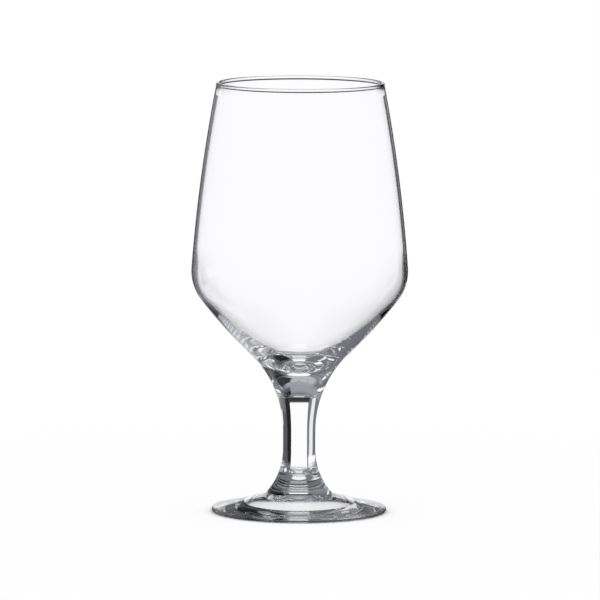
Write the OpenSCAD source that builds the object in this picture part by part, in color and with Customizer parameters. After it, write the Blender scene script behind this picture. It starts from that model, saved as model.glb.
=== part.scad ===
// Stemmed drinking glass: a blown bowl, a pressed and faceted stem and a pressed foot.
// The three pieces are fused hot, face to face, at two flat seams.
// Origin: centre of the resting face, +Z up, millimetres.

/* [Bowl] */
// Height of the bowl above the seam with the stem
bowl_h = 122; // [112:1:140]
// Outer diameter of the wall at the rim
rim_d = 70.1; // [64:0.1:76]
// Outer diameter at the widest place
belly_d = 90.6; // [86:0.1:96]
// Height of the widest place above the seam with the stem
belly_h = 43.1; // [42:0.1:48]
// Thickness of the wall
wall = 1.3; // [0.9:0.05:1.5]
// Radius of the rounded bead round the rim
rim_bead_r = 0.85; // [0.8:0.05:1.2]
// Bow of the side between the rim and the belly
side_bow_r = 675; // [600:5:1500]
// Radius of the bend under the widest place
belly_bend_r = 19.4; // [16:0.1:24]
// Bow of the tapered flank between the bend and the neck
flank_bow_r = 200; // [120:5:260]
// Bow of the inside of the flank, where the wall thickens towards the floor
flank_in_bow_r = 112; // [100:1:130]
// Height of the inside floor above the seam with the stem
floor_h = 2.7; // [2:0.1:4]
// Radius of the dished inside floor
floor_dish_r = 18.5; // [16:0.5:21]

/* [Stem] */
// Height of the stem, from seam to seam
stem_h = 50; // [46:1:70]
// Diameter of the slim waist
waist_d = 13.6; // [11:0.1:17]
// Height of the flare between the waist and the bowl
neck_flare_h = 24; // [22:0.5:26]
// Radius of that flare
neck_flare_r = 44.6; // [42:0.1:52]
// Height of the flare between the waist and the foot
foot_flare_h = 18; // [14:0.5:20]
// Radius of that flare
foot_flare_r = 27; // [24:0.5:34]
// Number of facets round the stem
facet_count = 6; // [5:1:9]
// Depth of each facet under the round surface
facet_depth = 0.75; // [0.5:0.05:1]
// Length of the facets above the straight waist, before they slope out
facet_up = 15.5; // [10:0.5:17]
// Length of the facets below the straight waist, before they slope out
facet_down = 9.2; // [6:0.2:10]
// Slope of the facets' upper ends, away from the stem's axis
facet_top_slope = 62; // [45:1:75]
// Slope of the facets' lower ends, away from the stem's axis
facet_foot_slope = 55; // [40:1:70]

/* [Foot] */
// Diameter of the foot
foot_d = 73.2; // [66:0.1:82]
// Height of the foot at the seam with the stem
foot_h = 8; // [7:0.1:10]
// Radius of the rounded edge
foot_edge_r = 1; // [0.7:0.05:1.5]
// Hollow bow of the upper face
foot_bow_r = 120; // [90:5:300]
// Inner diameter of the flat ring that the glass rests on
rest_ring_d = 44; // [36:0.5:54]
// Height of the hollow under the foot
hollow_h = 4.6; // [2:0.1:5.5]

/* [Hidden] */
$fn = 180;

// How far a cut runs past the face it opens
overrun = 1;
// How far the chords of an outline may stray from its true arcs
arc_error = 0.005;

function angle_of(v) = atan2(v.y, v.x);
// A point at a distance from a centre, in a given direction
function polar(centre, radius, angle) = centre + radius * [cos(angle), sin(angle)];
// A point at a distance from a, on the way to b
function toward(a, b, distance) = a + distance * (b - a) / norm(b - a);
// The place at distance ra from a and rb from b, left (1) or right (-1) of the way from a to b
function meet(a, ra, b, rb, side) =
    let (
        gap = norm(b - a),
        along = (ra * ra - rb * rb + gap * gap) / (2 * gap),
        across = sqrt(ra * ra - along * along),
        way = (b - a) / gap
    )
    a + along * way + side * across * [-way.y, way.x];
// The points of an arc between a and b, without a and b themselves
function arc(centre, a, b) =
    let (
        radius = norm(a - centre),
        swing = angle_of(b - centre) - angle_of(a - centre),
        turn = swing - 360 * round(swing / 360),
        steps = ceil(abs(turn) / (2 * acos(1 - arc_error / radius)))
    )
    [for (i = [1:1:steps - 1]) polar(centre, radius, angle_of(a - centre) + turn * i / steps)];

// Seam heights and the height of the whole glass
foot_seam_z = foot_h;
bowl_seam_z = foot_seam_z + stem_h;
glass_h = bowl_seam_z + bowl_h;

// Centres of the flares, level with the ends of the straight waist, and the seams' edges
waist_r = waist_d / 2;
foot_flare_c = [waist_r + foot_flare_r, foot_seam_z + foot_flare_h];
neck_c = [waist_r + neck_flare_r, bowl_seam_z - neck_flare_h];
foot_seam_edge = polar(foot_flare_c, foot_flare_r, 180 + asin(foot_flare_h / foot_flare_r));
bowl_seam_edge = polar(neck_c, neck_flare_r, 180 - asin(neck_flare_h / neck_flare_r));

// Outside of the bowl: the flank, the bend and the side touch each other without a break
belly_c = [belly_d / 2 - belly_bend_r, bowl_seam_z + belly_h];
bead_c = [(rim_d - wall) / 2, glass_h - rim_bead_r];
side_c = meet(belly_c, side_bow_r - belly_bend_r, [rim_d / 2, bead_c.y], side_bow_r, 1);
flank_c = meet(belly_c, flank_bow_r - belly_bend_r, neck_c, flank_bow_r + neck_flare_r, -1);
flank_start = toward(flank_c, neck_c, flank_bow_r);
flank_end = toward(flank_c, belly_c, flank_bow_r);
side_start = toward(side_c, belly_c, side_bow_r);
side_end = meet(side_c, side_bow_r, bead_c, rim_bead_r, -1);

// Inside of the bowl: it follows the side and the bend, then draws in to the dished floor
bend_in_r = belly_bend_r - wall;
side_in_end = meet(side_c, side_bow_r - wall, bead_c, rim_bead_r, -1);
side_in_start = toward(side_c, belly_c, side_bow_r - wall);
floor_c = [0, bowl_seam_z + floor_h + floor_dish_r];
flank_in_c = meet(belly_c, flank_in_bow_r - bend_in_r, floor_c, flank_in_bow_r - floor_dish_r, -1);
flank_in_end = toward(flank_in_c, belly_c, flank_in_bow_r);
flank_in_start = toward(flank_in_c, floor_c, flank_in_bow_r);

bowl_outline = concat(
    [[0, bowl_seam_z], bowl_seam_edge],
    arc(neck_c, bowl_seam_edge, flank_start),
    [flank_start],
    arc(flank_c, flank_start, flank_end),
    [flank_end],
    arc(belly_c, flank_end, side_start),
    [side_start],
    arc(side_c, side_start, side_end),
    [side_end],
    arc(bead_c, side_end, [bead_c.x, glass_h]),
    [[bead_c.x, glass_h]],
    arc(bead_c, [bead_c.x, glass_h], side_in_end),
    [side_in_end],
    arc(side_c, side_in_end, side_in_start),
    [side_in_start],
    arc(belly_c, side_in_start, flank_in_end),
    [flank_in_end],
    arc(flank_in_c, flank_in_end, flank_in_start),
    [flank_in_start],
    arc(floor_c, flank_in_start, [0, bowl_seam_z + floor_h]),
    [[0, bowl_seam_z + floor_h]]
);

// Foot: hollow underneath, a flat ring to rest on, a rounded edge and a bowed upper face
foot_edge_c = [foot_d / 2 - foot_edge_r, foot_edge_r];
foot_bow_c = meet(foot_seam_edge, foot_bow_r, foot_edge_c, foot_bow_r + foot_edge_r, 1);
foot_edge_top = toward(foot_edge_c, foot_bow_c, foot_edge_r);
rest_edge = [rest_ring_d / 2, 0];
hollow_r = (rest_edge.x * rest_edge.x + hollow_h * hollow_h) / (2 * hollow_h);
hollow_c = [0, hollow_h - hollow_r];

foot_outline = concat(
    [[0, hollow_h]],
    arc(hollow_c, [0, hollow_h], rest_edge),
    [rest_edge, [foot_edge_c.x, 0]],
    arc(foot_edge_c, [foot_edge_c.x, 0], foot_edge_top),
    [foot_edge_top],
    arc(foot_bow_c, foot_edge_top, foot_seam_edge),
    [foot_seam_edge, [0, foot_h]]
);

// Facets: where their long flats end and slope out to the round surface
facet_top = polar(neck_c, neck_flare_r + facet_depth, 180 - asin(facet_up / neck_flare_r));
facet_foot = polar(foot_flare_c, foot_flare_r + facet_depth, 180 + asin(facet_down / foot_flare_r));
facet_in = waist_r - facet_depth - overrun;
facet_out = waist_d;

module disc(centre, radius) {
    translate(centre)
        circle(radius);
}

// Half section of the stem, or of the core that is left under the facets
module stem_side(inset = 0) {
    difference() {
        translate([0, foot_seam_z])
            square([foot_flare_c.x, foot_flare_h]);
        disc(foot_flare_c, foot_flare_r + inset);
    }
    translate([0, foot_flare_c.y])
        square([waist_r - inset, neck_c.y - foot_flare_c.y]);
    difference() {
        translate([0, neck_c.y])
            square([neck_c.x, neck_flare_h]);
        disc(neck_c, neck_flare_r + inset);
    }
}

// What one facet takes off, seen along its flat
module facet_side() {
    difference() {
        polygon([
            [facet_in, facet_foot.y + (facet_foot.x - facet_in) / tan(facet_foot_slope)],
            [facet_out, facet_foot.y + (facet_foot.x - facet_out) / tan(facet_foot_slope)],
            [facet_out, facet_top.y + (facet_out - facet_top.x) / tan(facet_top_slope)],
            [facet_in, facet_top.y + (facet_in - facet_top.x) / tan(facet_top_slope)]
        ]);
        stem_side(facet_depth);
    }
}

module facet() {
    rotate([90, 0, 0])
        linear_extrude(height = waist_d, center = true)
            facet_side();
}

module bowl() {
    color("aliceblue", 0.4)
        rotate_extrude()
            polygon(bowl_outline);
}

// One facet faces the front, along -Y
module stem() {
    color("lightsteelblue", 0.6)
        difference() {
            rotate_extrude()
                stem_side();
            for (i = [0:facet_count - 1])
                rotate([0, 0, 270 + i * 360 / facet_count])
                    facet();
        }
}

module foot() {
    color("lightslategray", 0.6)
        rotate_extrude()
            polygon(foot_outline);
}

bowl();
stem();
foot();
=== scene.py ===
# %% [markdown]
# # A stemmed drinking glass
# The real object is clear glass and nothing else: a blown bowl, a pressed stem with six
# long facets and a pressed foot, fused while hot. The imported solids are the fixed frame.
# This lesson lays a finer skin over each of them, gives it real glass, and lights it the
# way a glass is photographed: white behind it, dark and pale cards out of the picture.

# %% The fixed frame
import bpy
import math
import numpy as np
from collections import namedtuple
from mathutils import Matrix


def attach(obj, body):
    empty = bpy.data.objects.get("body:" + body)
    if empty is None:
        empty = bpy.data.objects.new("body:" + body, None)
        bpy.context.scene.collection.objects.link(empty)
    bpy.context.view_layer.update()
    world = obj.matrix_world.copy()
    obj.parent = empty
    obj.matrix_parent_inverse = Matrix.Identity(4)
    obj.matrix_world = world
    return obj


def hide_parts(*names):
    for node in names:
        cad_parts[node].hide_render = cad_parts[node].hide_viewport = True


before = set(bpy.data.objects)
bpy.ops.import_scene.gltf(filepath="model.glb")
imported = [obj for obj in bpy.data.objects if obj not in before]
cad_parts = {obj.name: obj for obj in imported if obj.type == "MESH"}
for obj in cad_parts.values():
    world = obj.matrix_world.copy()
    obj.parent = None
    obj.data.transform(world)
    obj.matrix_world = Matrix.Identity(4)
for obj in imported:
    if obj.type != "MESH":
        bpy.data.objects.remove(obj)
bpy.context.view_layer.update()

print("nodes:", sorted(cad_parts))

# %% [markdown]
# ## Sizes shared by the pieces
# All lengths are those of the solids, in metres. The neck is the stem's flare into the bowl,
# and the flare is the one into the foot. Both start level at the straight waist.

# %% Sizes of the glass, as in the solids
MM = 0.001
GLASS_H = 180 * MM
BOWL_SEAM_Z = 58 * MM
FOOT_SEAM_Z = 8 * MM
WAIST_R = 6.8 * MM
NECK_R = 44.6 * MM
NECK_H = 24 * MM
NECK_CENTRE = np.array([WAIST_R + NECK_R, BOWL_SEAM_Z - NECK_H])
FLARE_R = 27 * MM
FLARE_H = 18 * MM
FLARE_CENTRE = np.array([WAIST_R + FLARE_R, FOOT_SEAM_Z + FLARE_H])
print("straight waist in mm, from", FLARE_CENTRE[1] / MM, "to", NECK_CENTRE[1] / MM)

# %% [markdown]
# ## The profile in arcs
# A glassmaker's profile is a chain of arcs that touch each other without a break. It could
# be drawn as a Bezier curve and spun with the Screw modifier, but a chain of true arcs keeps
# the sizes of the solids exactly, so each junction is worked out from its two circles.

# %% Arcs and the places where they touch
def polar(centre, radius, angle):
    """centre + radius * (cos angle, sin angle), the angle in degrees."""
    turn = math.radians(angle)
    return np.array(centre) + radius * np.array([math.cos(turn), math.sin(turn)])

def toward(a, b, distance):
    """The point at a distance from a on the straight way to b."""
    way = np.array(b) - np.array(a)
    return np.array(a) + distance * way / np.hypot(*way)

def meet(a, radius_a, b, radius_b, side):
    """Where two circles cross: along the line of centres by (ra^2 - rb^2 + gap^2) / (2 gap),
    then across it by what the circle of radius ra leaves, to the left (1) or right (-1)."""
    way = np.array(b) - np.array(a)
    gap = np.hypot(*way)
    along = (radius_a ** 2 - radius_b ** 2 + gap ** 2) / (2 * gap)
    across = math.sqrt(radius_a ** 2 - along ** 2)
    way = way / gap
    return np.array(a) + along * way + side * across * np.array([-way[1], way[0]])

def arc(centre, start, end, step=0.04 * MM):
    """Points of a circle, centre + radius * (cos t, sin t), with t running evenly the short
    way round from start to end and both ends included."""
    centre = np.array(centre)
    from_centre = np.array([start, end]) - centre
    radius = np.hypot(*from_centre[0])
    first, last = np.arctan2(from_centre[:, 1], from_centre[:, 0])
    swing = (last - first + math.pi) % (2 * math.pi) - math.pi
    count = max(3, int(abs(swing) * radius / step))
    t = first + swing * np.linspace(0, 1, count)
    return centre + radius * np.stack([np.cos(t), np.sin(t)], axis=1)

print("circles of radius 5 about (0, 0) and (6, 0) cross at", meet([0, 0], 5, [6, 0], 5, 1))

# %% [markdown]
# ## Softened corners
# Fire polishing melts every corner a little. A Bevel modifier would do it on the mesh, but a
# Gaussian average along the profile gives the same soft corner before the mesh exists. The
# rows are then spaced by how far the profile runs and how much it turns.

# %% Melt a profile
MELT = 0.15 * MM

def melted(profile, spread=MELT):
    """Gaussian average along the run: the profile is resampled evenly, five points to a
    spread, and each point becomes the mean of its neighbours up to four spreads away, with
    weights exp(-(distance / spread)^2 / 2). Both ends are mirrored through themselves first,
    so they stay where they are."""
    fineness = 5
    reach = 4 * fineness
    step = spread / fineness
    run = np.concatenate([[0], np.cumsum(np.hypot(*np.diff(profile, axis=0).T))])
    even = np.linspace(0, run[-1], int(run[-1] / step) + 1)
    points = np.stack([np.interp(even, run, axis) for axis in profile.T], axis=1)
    before = 2 * points[0] - points[reach:0:-1]
    after = 2 * points[-1] - points[-2:-reach - 2:-1]
    padded = np.concatenate([before, points, after])
    weights = np.exp(-(np.arange(-reach, reach + 1) / fineness) ** 2 / 2)
    weights = weights / weights.sum()
    return np.stack([np.convolve(axis, weights, mode="valid") for axis in padded.T], axis=1)

square = np.array([[-3, 0], [0, 0], [0, 3]]) * MM
moved = np.hypot(*melted(square).T).min() / MM
print("melting draws a square corner in by mm:", round(moved, 3))

# %% Space its rows
def spaced(profile, rows, turn_length, thick_below=0, thick_share=3, thin_share=1):
    """The same profile with a chosen number of points: each point adds its run plus its turn
    in radians times turn_length, and the rows share that sum evenly. The run counts by its
    share: one below a height where the glass is thick and shows each step enlarged, and
    another above it."""
    way = np.diff(profile, axis=0)
    run = np.hypot(*way.T) * np.where(profile[1:, 1] < thick_below, thick_share, thin_share)
    heading = np.unwrap(np.arctan2(way[:, 1], way[:, 0]))
    turn = np.abs(np.diff(heading, append=heading[-1]))
    cost = np.concatenate([[0], np.cumsum(run + turn_length * turn)])
    share = np.linspace(0, cost[-1], rows)
    return np.stack([np.interp(share, cost, axis) for axis in profile.T], axis=1)

print("the same corner in six rows, in mm:", np.round(spaced(melted(square), 6, 2 * MM) / MM, 2).tolist())

# %% [markdown]
# ## Closed skins from a grid
# Each piece is one closed surface with two poles on the axis. Rings of points are joined by
# quads, and the first and last rings by a fan of triangles to the pole. Fused faces inside
# the glass get their own material slot, because no light bends there, and so do bands of
# rings whose painted dark line differs: the rim's bead, the bowl's inside and the foot's rounded edge.

# %% Rings of points to a closed mesh
MAIN, FUSED, BAND, INSIDE = range(4)

def closed_skin(name, rings, low_z, high_z, fused_low=False, fused_high=False, bands=()):
    """rings[i, j] is the point of ring i at angle j, rings rising the way the profile runs and
    angles anticlockwise. Faces (i, j), (i, j+1), (i+1, j+1), (i+1, j) then point outwards, and
    a fan closes each end at its pole on the axis. Each band gives a slot to all rings from one
    on, until the next band."""
    rows, columns = rings.shape[:2]
    j = np.arange(columns)
    after = (j + 1) % columns
    base = np.arange(rows - 1)[:, None] * columns
    quads = np.stack([base + j, base + after, base + columns + after, base + columns + j], axis=-1)
    last = (rows - 1) * columns
    low = np.stack([after, j, np.full(columns, rows * columns)], axis=-1)
    high = np.stack([last + j, last + after, np.full(columns, rows * columns + 1)], axis=-1)
    points = np.concatenate([rings.reshape(-1, 3), [[0, 0, low_z], [0, 0, high_z]]])
    corners = np.concatenate([low.ravel(), quads.ravel(), high.ravel()])
    sizes = np.repeat([3, 4, 3], [columns, quads.size // 4, columns])
    slots = np.full(len(sizes), MAIN)
    for first, slot in bands:
        slots[(first + 1) * columns:] = slot
    if fused_low:
        slots[:columns] = FUSED
    if fused_high:
        slots[-columns:] = FUSED
    mesh = bpy.data.meshes.new(name)
    mesh.vertices.add(len(points))
    mesh.vertices.foreach_set("co", points.ravel())
    mesh.loops.add(len(corners))
    mesh.loops.foreach_set("vertex_index", corners)
    mesh.polygons.add(len(sizes))
    mesh.polygons.foreach_set("loop_start", np.cumsum(sizes) - sizes)
    mesh.polygons.foreach_set("material_index", slots)
    mesh.update(calc_edges=True)
    mesh.validate()
    ends = np.zeros(len(mesh.edges) * 2, int)
    mesh.edges.foreach_get("vertices", ends)
    ends = ends.reshape(-1, 2)
    on_low = (ends < columns).all(axis=1) & fused_low
    on_high = ((ends >= last) & (ends < last + columns)).all(axis=1) & fused_high
    sharp = mesh.attributes.new("sharp_edge", "BOOLEAN", "EDGE")
    sharp.data.foreach_set("value", on_low | on_high)
    piece = bpy.data.objects.new(name, mesh)
    bpy.context.collection.objects.link(piece)
    print(name, "triangles:", quads.size // 2 + 2 * columns)
    return piece

def turned(profile, columns):
    """A surface of revolution: (r, z) at angle t becomes (r cos t, r sin t, z)."""
    t = 2 * math.pi * np.arange(columns) / columns
    r, z = profile.T[:, :, None]
    return np.stack([r * np.cos(t), r * np.sin(t), z + 0 * t], axis=-1)

print("three points turned at four angles:", turned(np.array([[1, 0], [2, 1], [1, 2]]), 4).shape)

# %% [markdown]
# ## The bowl
# Blown glass: the side bows gently from the rim to the belly, the belly turns on a tight bend
# into a tapered flank, and the flank runs into the stem's neck. Inside, the wall keeps its
# thickness round the bend and then thickens into a dished floor, which works as a lens.

# %% Bowl: where its arcs touch
WALL = 1.3 * MM
RIM_R = 35.05 * MM
BEAD_R = 0.85 * MM
BELLY_R = 45.3 * MM
BELLY_Z = 101.1 * MM
BEND_R = 19.4 * MM
SIDE_R = 675 * MM
FLANK_R = 200 * MM
FLANK_IN_R = 112 * MM
DISH_R = 18.5 * MM
FLOOR_Z = 60.7 * MM
belly_centre = np.array([BELLY_R - BEND_R, BELLY_Z])
rim_wall = np.array([RIM_R, GLASS_H - BEAD_R])
bead_centre = np.array([RIM_R - WALL / 2, GLASS_H - BEAD_R])
side_centre = meet(belly_centre, SIDE_R - BEND_R, rim_wall, SIDE_R, 1)
flank_centre = meet(belly_centre, FLANK_R - BEND_R, NECK_CENTRE, FLANK_R + NECK_R, -1)
bowl_seam = polar(NECK_CENTRE, NECK_R, 180 - math.degrees(math.asin(NECK_H / NECK_R)))
flank_start = toward(flank_centre, NECK_CENTRE, FLANK_R)
flank_end = toward(flank_centre, belly_centre, FLANK_R)
side_start = toward(side_centre, belly_centre, SIDE_R)
side_end = meet(side_centre, SIDE_R, bead_centre, BEAD_R, -1)
side_in_end = meet(side_centre, SIDE_R - WALL, bead_centre, BEAD_R, -1)
side_in_start = toward(side_centre, belly_centre, SIDE_R - WALL)
dish_centre = np.array([0, FLOOR_Z + DISH_R])
flank_in_centre = meet(belly_centre, FLANK_IN_R - BEND_R + WALL, dish_centre, FLANK_IN_R - DISH_R, -1)
flank_in_end = toward(flank_in_centre, belly_centre, FLANK_IN_R)
flank_in_start = toward(flank_in_centre, dish_centre, FLANK_IN_R)
print("flank in mm, from", np.round(flank_start / MM, 2), "to", np.round(flank_end / MM, 2))

# %% [markdown]
# The profile runs from the seam up the outside, over the rim's bead and down the inside. The
# rings of the bead are the ones above the bead's root, and all rings after them lie inside.

# %% Bowl: its skin
BEAD_ROOT_Z = GLASS_H - 2.3 * MM
THICK_BELOW_Z = 92 * MM
rim_top = [bead_centre[0], GLASS_H]
bowl_profile = np.concatenate([
    arc(NECK_CENTRE, bowl_seam, flank_start),
    arc(flank_centre, flank_start, flank_end)[1:],
    arc(belly_centre, flank_end, side_start)[1:],
    arc(side_centre, side_start, side_end)[1:],
    arc(bead_centre, side_end, rim_top)[1:],
    arc(bead_centre, rim_top, side_in_end)[1:],
    arc(side_centre, side_in_end, side_in_start)[1:],
    arc(belly_centre, side_in_start, flank_in_end)[1:],
    arc(flank_in_centre, flank_in_end, flank_in_start)[1:],
    arc(dish_centre, flank_in_start, [0, FLOOR_Z])[1:],
])
bowl_rows = spaced(melted(bowl_profile), 400, 16 * MM, THICK_BELOW_Z, thin_share=0.4)[:-1]
bead = np.flatnonzero(bowl_rows[:, 1] > BEAD_ROOT_Z)
bowl = closed_skin("bowl_glass_skin", turned(bowl_rows, 240), BOWL_SEAM_Z, FLOOR_Z,
    fused_low=True, bands=[(bead[0], BAND), (bead[-1], INSIDE)])

# %% [markdown]
# ## The foot
# A pressed disc: a hollow underneath, a flat ring to rest on, a rounded edge and a bowed
# upper face. The same helpers make it.

# %% Foot: its skin
EDGE_R = 1 * MM
FOOT_R = 36.6 * MM
FOOT_BOW_R = 120 * MM
HOLLOW_H = 4.6 * MM
RING_IN_R = 22 * MM
ROUNDED_FROM_R = 35 * MM
foot_seam = polar(FLARE_CENTRE, FLARE_R, 180 + math.degrees(math.asin(FLARE_H / FLARE_R)))
edge_centre = np.array([FOOT_R - EDGE_R, EDGE_R])
bow_centre = meet(foot_seam, FOOT_BOW_R, edge_centre, FOOT_BOW_R + EDGE_R, 1)
edge_top = toward(edge_centre, bow_centre, EDGE_R)
hollow_r = (RING_IN_R ** 2 + HOLLOW_H ** 2) / (2 * HOLLOW_H)
foot_profile = np.concatenate([
    arc([0, HOLLOW_H - hollow_r], [0, HOLLOW_H], [RING_IN_R, 0]),
    np.linspace([RING_IN_R, 0], [edge_centre[0], 0], 130)[1:],
    arc(edge_centre, [edge_centre[0], 0], edge_top)[1:],
    arc(bow_centre, edge_top, foot_seam)[1:],
])
foot_rows = spaced(melted(foot_profile), 260, 20 * MM)[1:]
rounded = np.flatnonzero(foot_rows[:, 0] > ROUNDED_FROM_R)
foot = closed_skin("foot_glass_skin", turned(foot_rows, 320), HOLLOW_H, FOOT_SEAM_Z,
    fused_high=True, bands=[(rounded[0], BAND), (rounded[-1], MAIN)])

# %% [markdown]
# ## The stem
# Six long flats are pressed into a round flared stem. The flats follow the flare, swell a
# little across, and slope out to the round surface at both ends. Boolean cuts would leave
# knife edges, so the radius is a formula instead: the smaller of the round stem and the flat,
# with a soft minimum that rounds every crease as fire polishing does.

# %% Stem: round radius and flats
FACETS = 6
FACET_DEPTH = 0.75 * MM
FACET_UP = 15.5 * MM
FACET_DOWN = 9.2 * MM
TOP_SLOPE = math.radians(62)
FOOT_SLOPE = math.radians(55)
CREASE = 0.12 * MM
CROWN_R = 35 * MM
SECTOR = 2 * math.pi / FACETS
NECK_TURN = 180 - math.degrees(math.asin(FACET_UP / NECK_R))
FLARE_TURN = 180 + math.degrees(math.asin(FACET_DOWN / FLARE_R))
facet_top = polar(NECK_CENTRE, NECK_R + FACET_DEPTH, NECK_TURN)
facet_foot = polar(FLARE_CENTRE, FLARE_R + FACET_DEPTH, FLARE_TURN)

def flare(z, inset):
    """Radius of the stem at height z: straight at the waist, and outside it the flares' centre
    distance minus sqrt(radius^2 - height^2), each flare's radius grown by inset."""
    up = np.maximum(z - NECK_CENTRE[1], 0)
    down = np.maximum(FLARE_CENTRE[1] - z, 0)
    neck = NECK_CENTRE[0] - np.sqrt((NECK_R + inset) ** 2 - up ** 2)
    foot_end = FLARE_CENTRE[0] - np.sqrt((FLARE_R + inset) ** 2 - down ** 2)
    return np.where(up > 0, neck, foot_end)

def soft_min(a, b, width):
    """The smaller of a and b, with the corner rounded where they differ by less than width."""
    blend = np.clip(0.5 + 0.5 * (b - a) / width, 0, 1)
    return b + (a - b) * blend - width * blend * (1 - blend)

def stem_radius(t, z):
    """Round radius, softly cut by the flats. A flat is a circle of radius R whose middle lies
    at distance u from the axis: (u - R) cos(off) + sqrt(R^2 - (u - R)^2 sin(off)^2), with off
    the angle from its middle, and u is the inset flare or the sloped ends, if larger."""
    upper = facet_top[0] + (z - facet_top[1]) * math.tan(TOP_SLOPE)
    lower = facet_foot[0] + (facet_foot[1] - z) * math.tan(FOOT_SLOPE)
    flat = -soft_min(-flare(z, FACET_DEPTH), -np.maximum(upper, lower), CREASE)
    off = (t + math.pi / 2 + SECTOR / 2) % SECTOR - SECTOR / 2
    back = flat - CROWN_R
    crowned = back * np.cos(off) + np.sqrt(CROWN_R ** 2 - (back * np.sin(off)) ** 2)
    return soft_min(flare(z, 0), crowned, CREASE)

print("waist across flats in mm:", round(2 * float(stem_radius(-math.pi / 2, 30 * MM)) / MM, 2))

# %% [markdown]
# The rows crowd where the flats end and at both seams, because the surface turns there.

# %% Stem: its skin
COLUMNS = 72
ROWS = 214
CROWDED_Z = (8.2, 16.4, 49.6, 50.4, 57.8)
CROWD_SPREAD = 0.8
share = np.arange(COLUMNS) / COLUMNS
stem_t = (np.arange(FACETS)[:, None] * SECTOR - math.pi / 2 - SECTOR / 2 + share * SECTOR).ravel()
fine_z = np.linspace(FOOT_SEAM_Z, BOWL_SEAM_Z, 4001)
crowd = sum(np.exp(-((fine_z / MM - at) / CROWD_SPREAD) ** 2) for at in CROWDED_Z)
cost = np.concatenate([[0], np.cumsum(1 + 3 * crowd)[:-1]])
stem_z = np.interp(np.linspace(0, cost[-1], ROWS), cost, fine_z)[:, None]
stem_r = stem_radius(stem_t, stem_z)
stem_rings = np.stack([stem_r * np.cos(stem_t), stem_r * np.sin(stem_t), stem_z + 0 * stem_t], axis=-1)
stem = closed_skin("stem_glass_skin", stem_rings, FOOT_SEAM_Z, BOWL_SEAM_Z,
    fused_low=True, fused_high=True)

# %% [markdown]
# ## Glass
# Clear glass shows no colour of its own, only what it bends and mirrors. Principled with full
# transmission does that. Each of its node trees is written with three short forms: a Math
# node, a Map Range node and a Mix node for colours.

# %% Short forms for nodes
def feed(tree, value, socket):
    """Link an output to a socket, or set a plain value on it."""
    if isinstance(value, bpy.types.NodeSocket):
        tree.links.new(value, socket)
    else:
        socket.default_value = value

def maths(tree, operation, *values):
    """One operation of the Math node on one or more values."""
    node = tree.nodes.new("ShaderNodeMath")
    node.operation = operation
    for value, socket in zip(values, node.inputs):
        feed(tree, value, socket)
    return node.outputs[0]

def remap(tree, value, start, end, low=0, high=1, soft=False):
    """The way from start to end becomes low to high, held at both ends: with u from 0 to 1
    along that way, low + (high - low) * u, or of 3 u^2 - 2 u^3 if soft."""
    node = tree.nodes.new("ShaderNodeMapRange")
    node.interpolation_type = "SMOOTHSTEP" if soft else "LINEAR"
    feed(tree, value, node.inputs["Value"])
    feed(tree, start, node.inputs["From Min"])
    feed(tree, end, node.inputs["From Max"])
    feed(tree, low, node.inputs["To Min"])
    feed(tree, high, node.inputs["To Max"])
    return node.outputs["Result"]

def mixed(tree, factor, a, b):
    """Colour a where the factor is 0 and b where it is 1."""
    node = tree.nodes.new("ShaderNodeMix")
    node.data_type = "RGBA"
    feed(tree, factor, node.inputs["Factor"])
    feed(tree, a, node.inputs["A"])
    feed(tree, b, node.inputs["B"])
    return node.outputs["Result"]

print("short forms:", [form.__name__ for form in (maths, remap, mixed)])

# %% [markdown]
# Worked glass is never quite even. A node group shared by all the glasses gives the height of
# a slow waviness, and a Bump node turns it into a normal.

# %% Waviness of worked glass, as a node group
Wave = namedtuple("Wave", "broad fine share along depth")
BOWL_WAVE = Wave(35, 110, 0.15, 0.35, 0.005 * MM)
STEM_WAVE = Wave(60, 160, 0.2, 0.5, 0.08 * MM)
FOOT_WAVE = Wave(60, 160, 0.2, 1.0, 0.08 * MM)
WAVE_SOCKETS = ("Broad Scale", "Fine Scale", "Fine Share", "Along")

def wave_group():
    """Height = (1 - share) * noise(broad scale) + share * noise(fine scale), on Object
    coordinates stretched along the axis: the slow unevenness of pressed and blown glass."""
    group = bpy.data.node_groups.new("worked_glass_waves", "ShaderNodeTree")
    for label in WAVE_SOCKETS:
        group.interface.new_socket(label, in_out="INPUT", socket_type="NodeSocketFloat")
    group.interface.new_socket("Height", in_out="OUTPUT", socket_type="NodeSocketFloat")
    nodes, links = group.nodes, group.links
    given = nodes.new("NodeGroupInput")
    result = nodes.new("NodeGroupOutput")
    place = nodes.new("ShaderNodeTexCoord")
    along = nodes.new("ShaderNodeCombineXYZ")
    along.inputs[0].default_value = 1
    along.inputs[1].default_value = 1
    links.new(given.outputs["Along"], along.inputs[2])
    stretch = nodes.new("ShaderNodeVectorMath")
    stretch.operation = "MULTIPLY"
    links.new(place.outputs["Object"], stretch.inputs[0])
    links.new(along.outputs[0], stretch.inputs[1])
    mix = nodes.new("ShaderNodeMix")
    links.new(given.outputs["Fine Share"], mix.inputs["Factor"])
    for scale, side in (("Broad Scale", "A"), ("Fine Scale", "B")):
        noise = nodes.new("ShaderNodeTexNoise")
        noise.inputs["Detail"].default_value = 1
        links.new(stretch.outputs[0], noise.inputs["Vector"])
        links.new(given.outputs[scale], noise.inputs["Scale"])
        links.new(noise.outputs["Fac"], mix.inputs[side])
    links.new(mix.outputs["Result"], result.inputs["Height"])
    return group

waves = wave_group()
print("waves take:", WAVE_SOCKETS)
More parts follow.
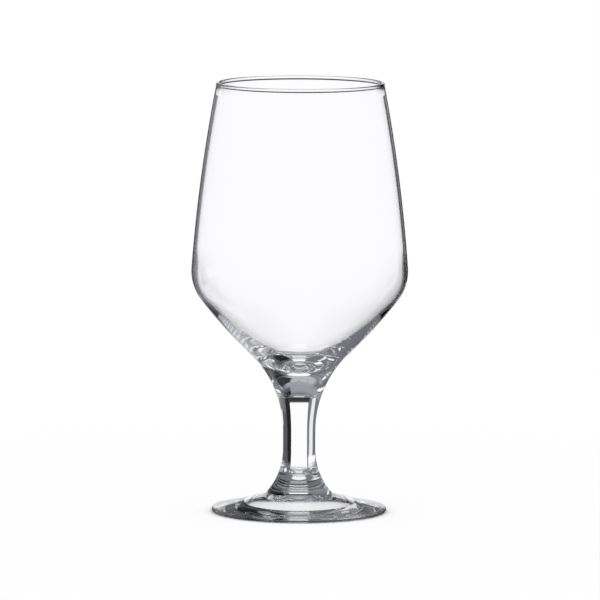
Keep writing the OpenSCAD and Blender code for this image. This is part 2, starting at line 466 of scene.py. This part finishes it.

# %% [markdown]
# ## Edge lines of painted shade
# What draws a clear glass is its dark outline. It comes from the few degrees where the
# surface turns away from the eye and the glass mirrors or bends in the dark of the room. On a
# thin wall that strip is narrower than the mesh and the samples can show, so it is painted
# shade: a darker tint of the Base Color where Layer Weight's Facing is near 1. The rim's bead
# and the foot's edge get a painted dark ring by height as well, where the real glass gathers
# the dark into a line.

# %% Where the lines lie
PaintedEdgeShade = namedtuple("PaintedEdgeShade", "start full dark in_base in_wall", defaults=(1, 1))
# Each of these paints shade: a darker Base Color where Facing runs from start to full.
OUTSIDE_PAINTED_SHADE = PaintedEdgeShade(0.775, 0.85, 0.003, 0.1, 1)
INSIDE_PAINTED_SHADE = PaintedEdgeShade(0.72, 0.94, 0.25, 1, 0.1)
RIM_PAINTED_SHADE = PaintedEdgeShade(0.5, 0.95, 0.12)
FOOT_PAINTED_SHADE = PaintedEdgeShade(0.9, 0.99, 0.1)
# Heights between which a painted dark ring rises, and then falls again
RIM_PAINTED_RING = ((177.8 * MM, 178.3 * MM), (178.6 * MM, 179.1 * MM))
FOOT_PAINTED_RING = ((0.05 * MM, 0.3 * MM), (0.9 * MM, 1.5 * MM))

def painted_edge_shade(tree, edge, height, risen, ring):
    """Strength of the painted shade, a dark tint: the smooth step of Facing from the line's
    start to its full strength, times its share in the base or the wall, or the painted ring by height if
    stronger."""
    facing = tree.nodes.new("ShaderNodeLayerWeight")
    facing.inputs["Blend"].default_value = 0.5
    line = remap(tree, facing.outputs["Facing"], edge.start, edge.full, soft=True)
    if risen:
        line = maths(tree, "MULTIPLY", line, remap(tree, risen, 0, 1, edge.in_base, edge.in_wall))
    # A painted dark ring by height, where the real glass gathers the dark of the room.
    if ring:
        (rise_from, rise_to), (fall_from, fall_to) = ring
        rising = remap(tree, height, rise_from, rise_to)
        falling = remap(tree, height, fall_to, fall_from)
        line = maths(tree, "MAXIMUM", line, maths(tree, "MULTIPLY", rising, falling))
    return line

print("outline starts at a slant of degrees:", round(math.degrees(math.acos(1 - OUTSIDE_PAINTED_SHADE.start))))

# %% [markdown]
# ## The material
# Light for the floor's shadow goes straight through, because Cycles would otherwise leave the
# floor black under the glass. Specular Tint turns down the straight mirror image and leaves
# the grazing and the total reflection whole. In the thin wall the glass bends light less than
# real glass does, so that the wall stays as narrow a line as in a photograph: the bend is
# graded by height, from the thick base to the wall, and back again at the rim's bead.

# %% A clear glass
GLASS_BEND = 1.52
WALL_BEND = 1.05
WALL_FROM_Z = 88 * MM
WALL_TO_Z = 112 * MM
RIM_FROM_Z = 175 * MM
RIM_TO_Z = 178 * MM
SHADOW_TINT = (0.93, 0.93, 0.94, 1)

def object_height(tree):
    """The z of the Object coordinates."""
    place = tree.nodes.new("ShaderNodeTexCoord")
    axes = tree.nodes.new("ShaderNodeSeparateXYZ")
    tree.links.new(place.outputs["Object"], axes.inputs[0])
    return axes.outputs["Z"]

def clear_glass(name, tint, mirror, wave, edge=None, ring=None, blown=False):
    """Principled glass with a wavy normal, a painted dark edge line in the Base Color if one is
    given, and for blown glass a bend and a painted line that change from the thick base to the thin wall."""
    material = bpy.data.materials.new(name)
    material.use_nodes = True
    tree = material.node_tree
    nodes, links = tree.nodes, tree.links
    body = nodes["Principled BSDF"]
    body.inputs["Base Color"].default_value = (*tint, 1)
    body.inputs["Roughness"].default_value = 0
    body.inputs["IOR"].default_value = GLASS_BEND
    body.inputs["Transmission Weight"].default_value = 1
    body.inputs["Specular Tint"].default_value = (mirror, mirror, mirror, 1)
    height = object_height(tree) if blown or ring else None
    risen = None
    if blown:
        risen = remap(tree, height, WALL_FROM_Z, WALL_TO_Z, soft=True)
        below_rim = remap(tree, height, RIM_TO_Z, RIM_FROM_Z, soft=True)
        thin = maths(tree, "MULTIPLY", risen, below_rim)
        links.new(remap(tree, thin, 0, 1, GLASS_BEND, WALL_BEND), body.inputs["IOR"])
    # The edge line is painted shade: the Base Color darkens towards the dark tint along it.
    if edge:
        dark = (*(edge.dark * np.array(tint)), 1)
        line = painted_edge_shade(tree, edge, height, risen, ring)
        links.new(mixed(tree, line, (*tint, 1), dark), body.inputs["Base Color"])
    wavy = nodes.new("ShaderNodeGroup")
    wavy.node_tree = waves
    for label, value in zip(WAVE_SOCKETS, wave):
        wavy.inputs[label].default_value = value
    bump = nodes.new("ShaderNodeBump")
    bump.inputs["Strength"].default_value = 1
    bump.inputs["Distance"].default_value = wave.depth
    links.new(wavy.outputs["Height"], bump.inputs["Height"])
    links.new(bump.outputs["Normal"], body.inputs["Normal"])
    path = nodes.new("ShaderNodeLightPath")
    straight = nodes.new("ShaderNodeBsdfTransparent")
    straight.inputs["Color"].default_value = SHADOW_TINT
    either = nodes.new("ShaderNodeMixShader")
    links.new(path.outputs["Is Shadow Ray"], either.inputs["Fac"])
    links.new(body.outputs["BSDF"], either.inputs[1])
    links.new(straight.outputs["BSDF"], either.inputs[2])
    links.new(either.outputs["Shader"], nodes["Material Output"].inputs["Surface"])
    return material

print("bend of the base and of the wall:", GLASS_BEND, WALL_BEND)

# %% [markdown]
# The fused faces are plain transparent, so a ray passes from one piece into the next as in
# one body.

# %% Fused faces
fused = bpy.data.materials.new("fused_face")
fused.use_nodes = True
fused.node_tree.nodes.remove(fused.node_tree.nodes["Principled BSDF"])
through = fused.node_tree.nodes.new("ShaderNodeBsdfTransparent")
fused_surface = fused.node_tree.nodes["Material Output"].inputs["Surface"]
fused.node_tree.links.new(through.outputs["BSDF"], fused_surface)
print("fused faces use:", through.name)

# %% [markdown]
# Every piece rides on the one body and takes the place of its node. Only the foot is seen by
# the table's own light: it leaves a faint shadow, and the rest of the table stays white.

# %% Glass on the pieces
BOWL_TINT = (0.988, 0.985, 0.999)
STEM_TINT = (0.985, 0.985, 0.99)
BOWL_MIRROR = 0.0
STEM_MIRROR = 0.1
FOOT_MIRROR = 0.6
blown_glass = (BOWL_TINT, BOWL_MIRROR, BOWL_WAVE)
pressed_foot = (STEM_TINT, FOOT_MIRROR, FOOT_WAVE)
# Every clear glass here but the stem's paints a dark edge line of shade into its Base Color.
finishes = {
    "bowl": [
        clear_glass("bowl_clear_glass", *blown_glass, OUTSIDE_PAINTED_SHADE, blown=True),
        fused,
        clear_glass("bowl_rim_glass", *blown_glass, RIM_PAINTED_SHADE, RIM_PAINTED_RING, blown=True),
        clear_glass("bowl_inside_glass", *blown_glass, INSIDE_PAINTED_SHADE, blown=True),
    ],
    "stem": [
        clear_glass("stem_clear_glass", STEM_TINT, STEM_MIRROR, STEM_WAVE),
        fused,
    ],
    "foot": [
        clear_glass("foot_clear_glass", *pressed_foot, FOOT_PAINTED_SHADE),
        fused,
        clear_glass("foot_edge_glass", *pressed_foot, FOOT_PAINTED_SHADE, FOOT_PAINTED_RING),
    ],
}
for node, piece in (("bowl", bowl), ("stem", stem), ("foot", foot)):
    for finish in finishes[node]:
        piece.data.materials.append(finish)
    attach(piece, "root")
    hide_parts(node)
    piece.visible_diffuse = node == "foot"
    print(node, "has", [finish.name for finish in finishes[node]])

# %% [markdown]
# ## The table
# A plain white table top. It is a disc that fades out before its edge, so no horizon line
# crosses the picture, and it keeps the glass's faint shadow. The glass itself doesn't see it:
# what shows through the foot is the room below, which has its own cards.

# %% Table top
TABLE_R = 0.5
TABLE_Z = -0.05 * MM
SPOKES = 96
HOOPS = 23
t = 2 * math.pi * np.arange(SPOKES) / SPOKES
hoop_r = np.linspace(0, TABLE_R, HOOPS + 1)[1:, None]
table_points = np.stack([hoop_r * np.cos(t), hoop_r * np.sin(t), TABLE_Z + 0 * hoop_r * t], axis=-1)
table_points = np.concatenate([table_points.reshape(-1, 3), [[0, 0, TABLE_Z]]])
j = np.arange(SPOKES)
after = (j + 1) % SPOKES
base = np.arange(HOOPS - 1)[:, None] * SPOKES
table_quads = np.stack([base + j, base + SPOKES + j, base + SPOKES + after, base + after], axis=-1)
table_fan = np.stack([np.full(SPOKES, HOOPS * SPOKES), j, after], axis=-1)
table_faces = table_quads.reshape(-1, 4).tolist() + table_fan.tolist()
table_mesh = bpy.data.meshes.new("table_top")
table_mesh.from_pydata(table_points.tolist(), [], table_faces)
table = bpy.data.objects.new("table_top", table_mesh)
bpy.context.collection.objects.link(table)
table.visible_transmission = False
table.visible_glossy = False
print("table faces:", len(table_faces))

# %% White paint that fades out
FADE_FROM = 0.12
FADE_TO = 0.45
paint = bpy.data.materials.new("white_table")
paint.use_nodes = True
nodes, links = paint.node_tree.nodes, paint.node_tree.links
matt = nodes["Principled BSDF"]
matt.inputs["Base Color"].default_value = (0.99, 0.99, 0.99, 1)
matt.inputs["Roughness"].default_value = 0.9
matt.inputs["Specular IOR Level"].default_value = 0
place = nodes.new("ShaderNodeTexCoord")
far = nodes.new("ShaderNodeVectorMath")
far.operation = "LENGTH"
links.new(place.outputs["Object"], far.inputs[0])
gone = nodes.new("ShaderNodeBsdfTransparent")
either = nodes.new("ShaderNodeMixShader")
fade = remap(paint.node_tree, far.outputs["Value"], FADE_FROM, FADE_TO, soft=True)
links.new(fade, either.inputs["Fac"])
links.new(matt.outputs["BSDF"], either.inputs[1])
links.new(gone.outputs["BSDF"], either.inputs[2])
links.new(either.outputs["Shader"], nodes["Material Output"].inputs["Surface"])
table.data.materials.append(paint)
print("table fades out from", FADE_FROM, "to", FADE_TO, "metres")

# %% [markdown]
# ## Light
# A glass shows nothing but what it bends and mirrors, so its picture is made by the room. A
# photographer puts a white wall behind it, which fills the bowl, and dark and pale cards out
# of the picture, which draw the outline and the stem's stripes. Area lamps could stand for the
# cards, but cards painted on the world by direction are seen sharp and add no noise. Only
# light that has met the glass sees them: the camera and the table see plain white.

# %% One card, as a mask over directions
CARD_SOCKETS = ("Card Azimuth", "Card Height", "Half Width", "Half Height", "Soft Edge")

def card_group():
    """Mask = inside(azimuth) * inside(height): each is the smooth step, from 0 to 1 over the
    soft edge, of half the card's size minus the distance from the card's centre in degrees."""
    group = bpy.data.node_groups.new("studio_card", "ShaderNodeTree")
    for label in ("Azimuth", "Height", *CARD_SOCKETS):
        group.interface.new_socket(label, in_out="INPUT", socket_type="NodeSocketFloat")
    group.interface.new_socket("Mask", in_out="OUTPUT", socket_type="NodeSocketFloat")
    given = group.nodes.new("NodeGroupInput").outputs
    result = group.nodes.new("NodeGroupOutput")
    inside = []
    for at, half in (("Azimuth", "Half Width"), ("Height", "Half Height")):
        away = maths(group, "SUBTRACT", given[at], given["Card " + at])
        distance = maths(group, "ABSOLUTE", maths(group, "WRAP", away, 180, -180))
        left = maths(group, "SUBTRACT", given[half], distance)
        inside.append(remap(group, left, 0, given["Soft Edge"], soft=True))
    group.links.new(maths(group, "MULTIPLY", *inside), result.inputs["Mask"])
    return group

card = card_group()
print("a card takes:", CARD_SOCKETS)

# %% [markdown]
# ## The room
# Each card covers the ones listed before it. Those near azimuth 0 stand behind the glass in the
# photograph's view. The windows at the sides and the card under the glass keep it clear when it
# is seen from elsewhere.

# %% The room and its cards
# Each card: what it is, azimuth and height of its centre, half its width and height, soft
# edge (all in degrees, azimuth from straight behind towards the right) and brightness.
ROOM = 0.47
CARDS = (
    ("ceiling", -30, 74, 180, 22, 12, 0.74),
    ("upper wall", -25, 36, 58, 18, 7, 0.62),
    ("table", -50, -52, 85, 10, 6, 0.76),
    ("right shade", 40, -5, 27, 40, 6, 0.34),
    ("dark corner", 72, 57, 34, 20, 5, 0.20),
    ("dark card", 28, 0, 14, 27, 3, 0.09),
    ("side light", 64, 4, 14, 9, 4, 1.0),
    ("soft box", 116, 20, 34, 20, 8, 0.74),
    ("lit corner", 112, -7, 26, 17, 9, 0.97),
    ("pale door", -130, -4, 11, 8, 3, 0.85),
    ("strip light", -40.6, -2, 5, 28, 2, 0.96),
    ("left window", -47, -35, 13, 20, 3, 1.0),
    ("far window", -90, -20, 14, 23, 3, 1.0),
    ("right window", 135, -28, 14, 23, 3, 1.0),
    ("white wall", 0.5, -18, 10, 30, 2, 1.0),
    ("gap over the wall", 0, 15.5, 14, 5, 1.5, 0.22),
    ("under the glass", 0, -90, 200, 18, 6, 0.97),
)
# The dark upper room, seen only by rays that a surface has just mirrored. It reaches all round,
# but for a soft seam straight behind the camera.
MIRRORED = (0, 56, 181, 43, 6)
MIRROR_DARK = 0.05
COOL = np.array([0.93, 0.96, 1.06])

def card_colour(brightness):
    """Linear colour of a brightness from 0 to 1 as a picture shows it: ((b + 0.055) / 1.055) to
    the power 2.4, a little cooler the darker it is."""
    level = ((brightness + 0.055) / 1.055) ** 2.4
    return (*(level * (COOL + (1 - COOL) * level)), 1)

print("the room's own colour:", [round(float(v), 3) for v in card_colour(ROOM)[:3]])

# %% Paint the world
world = bpy.data.worlds.new("studio")
bpy.context.scene.world = world
world.use_nodes = True
world.cycles.sampling_method = "NONE"
studio = world.node_tree
direction = studio.nodes.new("ShaderNodeTexCoord")
split = studio.nodes.new("ShaderNodeSeparateXYZ")
studio.links.new(direction.outputs["Generated"], split.inputs[0])
x, y, z = split.outputs
azimuth = maths(studio, "DEGREES", maths(studio, "ARCTAN2", x, y))
rise = maths(studio, "DEGREES", maths(studio, "ARCSINE", z))

def card_mask(label, values):
    """The mask of one card over the world's directions."""
    mask = studio.nodes.new("ShaderNodeGroup")
    mask.node_tree = card
    mask.label = label
    for value, socket in zip((azimuth, rise, *values), mask.inputs):
        feed(studio, value, socket)
    return mask.outputs["Mask"]

colour = card_colour(ROOM)
for label, *values, brightness in CARDS:
    colour = mixed(studio, card_mask(label, values), colour, card_colour(brightness))
path = studio.nodes.new("ShaderNodeLightPath").outputs
dark = maths(studio, "MULTIPLY", path["Is Reflection Ray"], card_mask("mirrored", MIRRORED))
colour = mixed(studio, dark, colour, card_colour(MIRROR_DARK))
plain = maths(studio, "MAXIMUM", path["Is Camera Ray"], path["Is Diffuse Ray"])
colour = mixed(studio, plain, colour, (1, 1, 1, 1))
sky = studio.nodes["Background"]
sky.inputs["Strength"].default_value = 1
studio.links.new(colour, sky.inputs["Color"])
print("cards round the glass:", [label for label, *_ in CARDS])

# %% [markdown]
# ## Camera
# The photograph looks slightly down: the rim's ellipse and the foot's are both as flat as a
# camera 3 metres away and 6.5 degrees above level sees them. The glass leans by 0.21 degrees
# in the picture, which is a roll of the camera.

# %% Camera
CAMERA_FAR = 3.0
CAMERA_UP = math.radians(6.5)
CAMERA_ROLL = math.radians(0.21)
PICTURE_W = 0.2504
SENSOR_W = 36
target = np.array([0.14, 0, 88.85]) * MM
lens = bpy.data.cameras.new("camera")
lens.sensor_width = SENSOR_W
lens.lens = SENSOR_W * CAMERA_FAR / PICTURE_W
lens.clip_end = 50
camera = bpy.data.objects.new("camera", lens)
bpy.context.collection.objects.link(camera)
camera.location = target + CAMERA_FAR * np.array([0, -math.cos(CAMERA_UP), math.sin(CAMERA_UP)])
tilt = Matrix.Rotation(math.pi / 2 - CAMERA_UP, 3, "X")
camera.rotation_euler = (tilt @ Matrix.Rotation(CAMERA_ROLL, 3, "Z")).to_euler()
bpy.context.scene.camera = camera
bpy.context.scene.view_settings.view_transform = "Standard"
print("lens in mm:", round(lens.lens, 1))

# %% [markdown]
# Light turns many times between the faces of thick glass, so every kind of bounce is let run
# longer than it does by default.

# %% Bounces
BOUNCES = 32
cycles = bpy.context.scene.cycles
cycles.max_bounces = BOUNCES
cycles.glossy_bounces = BOUNCES
cycles.transmission_bounces = BOUNCES
cycles.transparent_max_bounces = BOUNCES
print("bounces:", BOUNCES)
